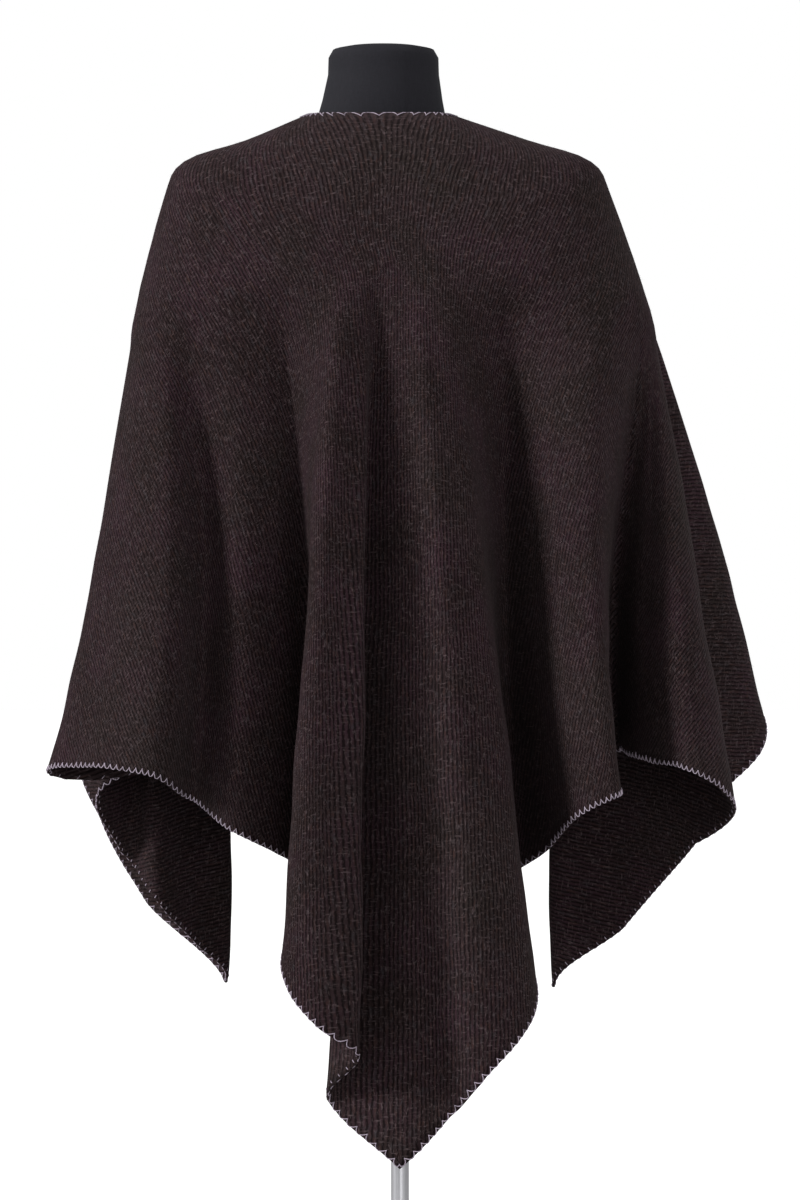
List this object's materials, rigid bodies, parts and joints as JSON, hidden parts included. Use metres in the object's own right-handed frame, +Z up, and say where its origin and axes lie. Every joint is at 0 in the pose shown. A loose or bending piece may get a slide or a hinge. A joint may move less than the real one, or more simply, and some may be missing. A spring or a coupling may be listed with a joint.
{
  "type": "square wool poncho worn on an armless dress form with a floor stand",
  "caption": "Brown wool poncho cut as one square with a neck hole, hanging corner-down in folds over a black armless dress form on a steel pole and round base",
  "frame": {"origin": "middle of the round base plate's underside, on the floor under the pole", "axes": "+Z up along the pole; -Y is the wearer's back, so the poncho's back corner points to -Y and its side corners to +X and -X"},
  "size_m": [0.7283, 0.5664, 1.4965],
  "materials": {
    "brown_wool": "brushed dark brown wool twill",
    "black_jersey": "matt black jersey",
    "brushed_steel": "satin steel",
    "black_paint": "satin black paint"
  },
  "bodies": {
    "root": {"poncho_cloth": "brown_wool", "dress_form": "black_jersey", "form_socket": "brushed_steel", "stand_pole": "brushed_steel", "base_hub": "brushed_steel", "base_plate": "black_paint"}
  },
  "joints": []
}
